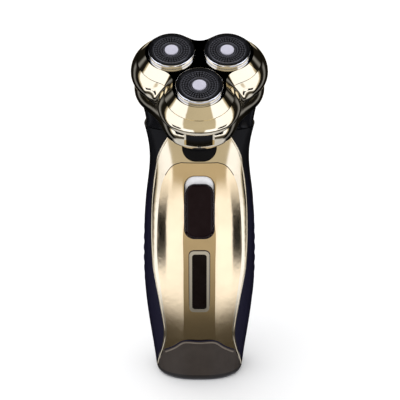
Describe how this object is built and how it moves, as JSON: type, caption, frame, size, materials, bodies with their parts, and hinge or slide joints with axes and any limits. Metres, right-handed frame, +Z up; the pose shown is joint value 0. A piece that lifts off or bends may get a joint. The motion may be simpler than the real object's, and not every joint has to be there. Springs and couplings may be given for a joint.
{
  "type": "rotary shaver",
  "caption": "Cordless rotary shaver with round slotted heads on a tilted, hinged shaving unit, gold-plated front, slide switch and ribbed side grips.",
  "frame": {"origin": "middle of the flat base that the shaver stands on", "axes": "+Z up along the handle, -Y out of the front with the power button, +X to the right"},
  "size_m": [0.0618, 0.0599, 0.1681],
  "materials": {
    "gold_upper": "mirror gold plating on the shaving head",
    "gold_front": "mirror gold plating on the handle front",
    "gold_bezel": "mirror gold plating on the front's rim",
    "chin_smoke": "smoky brown gloss plastic",
    "silver": "bright plating",
    "steel": "turned steel",
    "cap_foil": "dark ground steel with fine tracks",
    "disc": "pale satin plastic",
    "black_gloss": "black gloss plastic",
    "black_satin": "black satin plastic",
    "navy_rubber": "navy soft-touch rubber",
    "bottom_dark": "dark brown plastic",
    "silver_paint": "silver painted plastic",
    "lens_dark": "smoked lens, opaque in depth",
    "white_pom": "white gear plastic",
    "grey_plastic": "grey moulded plastic",
    "board_green": "circuit board",
    "battery_blue": "shrink sleeve",
    "nickel": "nickel plated strip"
  },
  "bodies": {
    "handle": {"front_bezel": "gold_bezel", "front_panel": "gold_front", "chin_plate": "chin_smoke", "rear_shell": "black_satin", "left_grip": "navy_rubber", "right_grip": "navy_rubber", "bottom_cap": "bottom_dark", "charge_socket": "black_satin", "socket_pins": "nickel", "case_screws": "steel", "chassis": "grey_plastic", "circuit_board": "board_green", "battery_cell": "battery_blue", "battery_tabs": "nickel", "slide_switch": "grey_plastic", "switch_backplate": "silver_paint", "indicator_bezel": "silver", "indicator_lens": "lens_dark", "motor_can": "steel", "motor_end_cap": "grey_plastic", "gear_plate": "grey_plastic", "gear_deck": "black_satin", "base_ring": "gold_upper", "base_housing": "black_gloss", "hinge_pin": "steel", "release_spring": "steel"},
    "power_slider": {"power_button": "black_gloss", "switch_lever": "white_pom"},
    "release_latch": {"release_button": "black_gloss"},
    "motor_rotor": {"motor_shaft": "steel", "motor_pinion": "white_pom"},
    "shaving_unit": {"top_frame": "gold_upper", "lower_housing": "gold_upper", "seat_rings": "silver", "retainer_frame": "grey_plastic", "retainer_lock": "white_pom", "float_spring_front": "steel", "float_spring_right": "steel", "float_spring_left": "steel"},
    "spindle_front": {"drive_spindle_front": "white_pom", "drive_gear_front": "white_pom"},
    "floating_cap_front": {"rim_ring_front": "silver", "slotted_cap_front": "cap_foil", "centre_disc_front": "disc", "cap_carrier_front": "grey_plastic"},
    "cutter_front": {"rotary_cutter_front": "steel"},
    "spindle_right": {"drive_spindle_right": "white_pom", "drive_gear_right": "white_pom"},
    "floating_cap_right": {"rim_ring_right": "silver", "slotted_cap_right": "cap_foil", "centre_disc_right": "disc", "cap_carrier_right": "grey_plastic"},
    "cutter_right": {"rotary_cutter_right": "steel"},
    "spindle_left": {"drive_spindle_left": "white_pom", "drive_gear_left": "white_pom"},
    "floating_cap_left": {"rim_ring_left": "silver", "slotted_cap_left": "cap_foil", "centre_disc_left": "disc", "cap_carrier_left": "grey_plastic"},
    "cutter_left": {"rotary_cutter_left": "steel"}
  },
  "joints": [
    {"name": "power_slide", "type": "slide", "parent": "handle", "child": "power_slider", "axis": [0, 0, 1], "range_m": [0, 0.0036]},
    {"name": "release_press", "type": "slide", "parent": "handle", "child": "release_latch", "axis": [0, 0.9272, -0.3746], "range_m": [0, 0.0015], "stiffness_N_per_m": 300, "springref_m": -0.002, "deforming": ["release_spring"]},
    {"name": "head_open", "type": "hinge", "parent": "handle", "child": "shaving_unit", "pos_m": [0, 0.01341, 0.15678], "axis": [-1, 0, 0], "range_deg": [0, 85]},
    {"name": "motor_spin", "type": "hinge", "parent": "handle", "child": "motor_rotor", "pos_m": [0, -0.0037, 0.13882], "axis": [0, -0.5, 0.866], "continuous": true},
    {"name": "cap_float_front", "type": "slide", "parent": "shaving_unit", "child": "floating_cap_front", "axis": [0, 0.5, -0.866], "range_m": [0, 0.0012], "stiffness_N_per_m": 500, "springref_m": -0.002, "deforming": ["float_spring_front"]},
    {"name": "cutter_spin_front", "type": "hinge", "parent": "floating_cap_front", "child": "cutter_front", "pos_m": [0, -0.026, 0.14904], "axis": [0, -0.5, 0.866], "continuous": true},
    {"name": "spindle_spin_front", "type": "hinge", "parent": "handle", "child": "spindle_front", "pos_m": [0, -0.017, 0.13345], "axis": [0, -0.5, 0.866], "continuous": true},
    {"name": "cap_float_right", "type": "slide", "parent": "shaving_unit", "child": "floating_cap_right", "axis": [0, 0.5, -0.866], "range_m": [0, 0.0012], "stiffness_N_per_m": 500, "springref_m": -0.002, "deforming": ["float_spring_right"]},
    {"name": "cutter_spin_right", "type": "hinge", "parent": "floating_cap_right", "child": "cutter_right", "pos_m": [0.0123, -0.00755, 0.15969], "axis": [0, -0.5, 0.866], "continuous": true},
    {"name": "spindle_spin_right", "type": "hinge", "parent": "handle", "child": "spindle_right", "pos_m": [0.0123, 0.00145, 0.1441], "axis": [0, -0.5, 0.866], "continuous": true},
    {"name": "cap_float_left", "type": "slide", "parent": "shaving_unit", "child": "floating_cap_left", "axis": [0, 0.5, -0.866], "range_m": [0, 0.0012], "stiffness_N_per_m": 500, "springref_m": -0.002, "deforming": ["float_spring_left"]},
    {"name": "cutter_spin_left", "type": "hinge", "parent": "floating_cap_left", "child": "cutter_left", "pos_m": [-0.0123, -0.00755, 0.15969], "axis": [0, -0.5, 0.866], "continuous": true},
    {"name": "spindle_spin_left", "type": "hinge", "parent": "handle", "child": "spindle_left", "pos_m": [-0.0123, 0.00145, 0.1441], "axis": [0, -0.5, 0.866], "continuous": true}
  ],
  "couplings": [
    {"joint": "motor_spin", "follows": "spindle_spin_front", "ratio": -3},
    {"joint": "cutter_spin_front", "follows": "spindle_spin_front", "ratio": 1},
    {"joint": "cutter_spin_right", "follows": "spindle_spin_front", "ratio": 1},
    {"joint": "spindle_spin_right", "follows": "spindle_spin_front", "ratio": 1},
    {"joint": "cutter_spin_left", "follows": "spindle_spin_front", "ratio": 1},
    {"joint": "spindle_spin_left", "follows": "spindle_spin_front", "ratio": 1}
  ]
}
